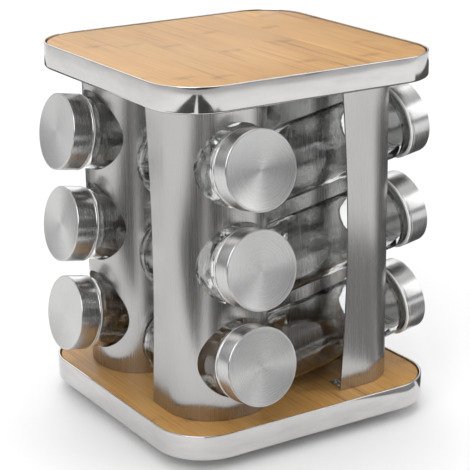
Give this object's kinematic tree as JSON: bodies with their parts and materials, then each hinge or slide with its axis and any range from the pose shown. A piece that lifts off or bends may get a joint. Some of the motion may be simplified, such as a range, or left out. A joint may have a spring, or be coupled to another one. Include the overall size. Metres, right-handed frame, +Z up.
{
  "type": "spice carousel",
  "caption": "Square turning spice stand: two bamboo-topped steel trays joined by bent steel columns that hold tilted glass jars with steel screw caps.",
  "frame": {"origin": "on the spin axis, at the underside of the foot ring", "axes": "+Z up along the spin axis; -Y is the front side; sides follow by quarter turns"},
  "size_m": [0.2044, 0.2044, 0.2275],
  "materials": {
    "polished_steel": "polished",
    "brushed_steel": "brushed vertically",
    "cap_steel": "spun face, brushed side",
    "bamboo": "oiled bamboo strips",
    "glass": "clear, slightly green",
    "sifter_plastic": "moulded natural plastic",
    "cage_plastic": "moulded",
    "rubber": "matte",
    "zinc": "zinc plated"
  },
  "bodies": {
    "base": {"foot_disc": "polished_steel", "foot_ring": "rubber", "pivot_rivet": "zinc", "pivot_washer": "zinc"},
    "cage": {"ball_cage": "cage_plastic"},
    "carousel": {"rotor_plate": "polished_steel", "base_tray": "polished_steel", "base_board": "bamboo", "top_tray": "polished_steel", "top_board": "bamboo", "column_front": "brushed_steel", "screw_front_lower": "polished_steel", "screw_front_upper": "polished_steel", "column_right": "brushed_steel", "screw_right_lower": "polished_steel", "screw_right_upper": "polished_steel", "column_back": "brushed_steel", "screw_back_lower": "polished_steel", "screw_back_upper": "polished_steel", "column_left": "brushed_steel", "screw_left_lower": "polished_steel", "screw_left_upper": "polished_steel"},
    "jar_front_bottom": {"jar_front_bottom": "glass", "sifter_front_bottom": "sifter_plastic"},
    "cap_front_bottom": {"cap_front_bottom": "cap_steel"},
    "jar_front_middle": {"jar_front_middle": "glass", "sifter_front_middle": "sifter_plastic"},
    "cap_front_middle": {"cap_front_middle": "cap_steel"},
    "jar_front_top": {"jar_front_top": "glass", "sifter_front_top": "sifter_plastic"},
    "cap_front_top": {"cap_front_top": "cap_steel"},
    "jar_right_bottom": {"jar_right_bottom": "glass", "sifter_right_bottom": "sifter_plastic"},
    "cap_right_bottom": {"cap_right_bottom": "cap_steel"},
    "jar_right_middle": {"jar_right_middle": "glass", "sifter_right_middle": "sifter_plastic"},
    "cap_right_middle": {"cap_right_middle": "cap_steel"},
    "jar_right_top": {"jar_right_top": "glass", "sifter_right_top": "sifter_plastic"},
    "cap_right_top": {"cap_right_top": "cap_steel"},
    "jar_back_bottom": {"jar_back_bottom": "glass", "sifter_back_bottom": "sifter_plastic"},
    "cap_back_bottom": {"cap_back_bottom": "cap_steel"},
    "jar_back_middle": {"jar_back_middle": "glass", "sifter_back_middle": "sifter_plastic"},
    "cap_back_middle": {"cap_back_middle": "cap_steel"},
    "jar_back_top": {"jar_back_top": "glass", "sifter_back_top": "sifter_plastic"},
    "cap_back_top": {"cap_back_top": "cap_steel"},
    "jar_left_bottom": {"jar_left_bottom": "glass", "sifter_left_bottom": "sifter_plastic"},
    "cap_left_bottom": {"cap_left_bottom": "cap_steel"},
    "jar_left_middle": {"jar_left_middle": "glass", "sifter_left_middle": "sifter_plastic"},
    "cap_left_middle": {"cap_left_middle": "cap_steel"},
    "jar_left_top": {"jar_left_top": "glass", "sifter_left_top": "sifter_plastic"},
    "cap_left_top": {"cap_left_top": "cap_steel"}
  },
  "joints": [
    {"name": "carousel_spin", "type": "hinge", "parent": "base", "child": "carousel", "pos_m": [0, 0, 0.0072], "axis": [0, 0, 1], "continuous": true},
    {"name": "cage_spin", "type": "hinge", "parent": "base", "child": "cage", "pos_m": [0, 0, 0.0054], "axis": [0, 0, 1], "continuous": true},
    {"name": "slide_front_bottom", "type": "slide", "parent": "carousel", "child": "jar_front_bottom", "axis": [0, -0.9848, 0.1736], "range_m": [0, 0.095]},
    {"name": "lift_front_bottom", "type": "slide", "parent": "jar_front_bottom", "child": "cap_front_bottom", "axis": [0, -0.9848, 0.1736], "range_m": [0, 0.03]},
    {"name": "slide_front_middle", "type": "slide", "parent": "carousel", "child": "jar_front_middle", "axis": [0, -0.9848, 0.1736], "range_m": [0, 0.095]},
    {"name": "lift_front_middle", "type": "slide", "parent": "jar_front_middle", "child": "cap_front_middle", "axis": [0, -0.9848, 0.1736], "range_m": [0, 0.03]},
    {"name": "slide_front_top", "type": "slide", "parent": "carousel", "child": "jar_front_top", "axis": [0, -0.9848, 0.1736], "range_m": [0, 0.095]},
    {"name": "lift_front_top", "type": "slide", "parent": "jar_front_top", "child": "cap_front_top", "axis": [0, -0.9848, 0.1736], "range_m": [0, 0.03]},
    {"name": "slide_right_bottom", "type": "slide", "parent": "carousel", "child": "jar_right_bottom", "axis": [0.9848, 0, 0.1736], "range_m": [0, 0.095]},
    {"name": "lift_right_bottom", "type": "slide", "parent": "jar_right_bottom", "child": "cap_right_bottom", "axis": [0.9848, 0, 0.1736], "range_m": [0, 0.03]},
    {"name": "slide_right_middle", "type": "slide", "parent": "carousel", "child": "jar_right_middle", "axis": [0.9848, 0, 0.1736], "range_m": [0, 0.095]},
    {"name": "lift_right_middle", "type": "slide", "parent": "jar_right_middle", "child": "cap_right_middle", "axis": [0.9848, 0, 0.1736], "range_m": [0, 0.03]},
    {"name": "slide_right_top", "type": "slide", "parent": "carousel", "child": "jar_right_top", "axis": [0.9848, 0, 0.1736], "range_m": [0, 0.095]},
    {"name": "lift_right_top", "type": "slide", "parent": "jar_right_top", "child": "cap_right_top", "axis": [0.9848, 0, 0.1736], "range_m": [0, 0.03]},
    {"name": "slide_back_bottom", "type": "slide", "parent": "carousel", "child": "jar_back_bottom", "axis": [0, 0.9848, 0.1736], "range_m": [0, 0.095]},
    {"name": "lift_back_bottom", "type": "slide", "parent": "jar_back_bottom", "child": "cap_back_bottom", "axis": [0, 0.9848, 0.1736], "range_m": [0, 0.03]},
    {"name": "slide_back_middle", "type": "slide", "parent": "carousel", "child": "jar_back_middle", "axis": [0, 0.9848, 0.1736], "range_m": [0, 0.095]},
    {"name": "lift_back_middle", "type": "slide", "parent": "jar_back_middle", "child": "cap_back_middle", "axis": [0, 0.9848, 0.1736], "range_m": [0, 0.03]},
    {"name": "slide_back_top", "type": "slide", "parent": "carousel", "child": "jar_back_top", "axis": [0, 0.9848, 0.1736], "range_m": [0, 0.095]},
    {"name": "lift_back_top", "type": "slide", "parent": "jar_back_top", "child": "cap_back_top", "axis": [0, 0.9848, 0.1736], "range_m": [0, 0.03]},
    {"name": "slide_left_bottom", "type": "slide", "parent": "carousel", "child": "jar_left_bottom", "axis": [-0.9848, 0, 0.1736], "range_m": [0, 0.095]},
    {"name": "lift_left_bottom", "type": "slide", "parent": "jar_left_bottom", "child": "cap_left_bottom", "axis": [-0.9848, 0, 0.1736], "range_m": [0, 0.03]},
    {"name": "slide_left_middle", "type": "slide", "parent": "carousel", "child": "jar_left_middle", "axis": [-0.9848, 0, 0.1736], "range_m": [0, 0.095]},
    {"name": "lift_left_middle", "type": "slide", "parent": "jar_left_middle", "child": "cap_left_middle", "axis": [-0.9848, 0, 0.1736], "range_m": [0, 0.03]},
    {"name": "slide_left_top", "type": "slide", "parent": "carousel", "child": "jar_left_top", "axis": [-0.9848, 0, 0.1736], "range_m": [0, 0.095]},
    {"name": "lift_left_top", "type": "slide", "parent": "jar_left_top", "child": "cap_left_top", "axis": [-0.9848, 0, 0.1736], "range_m": [0, 0.03]}
  ],
  "couplings": [
    {"joint": "cage_spin", "follows": "carousel_spin", "ratio": 0.5}
  ]
}
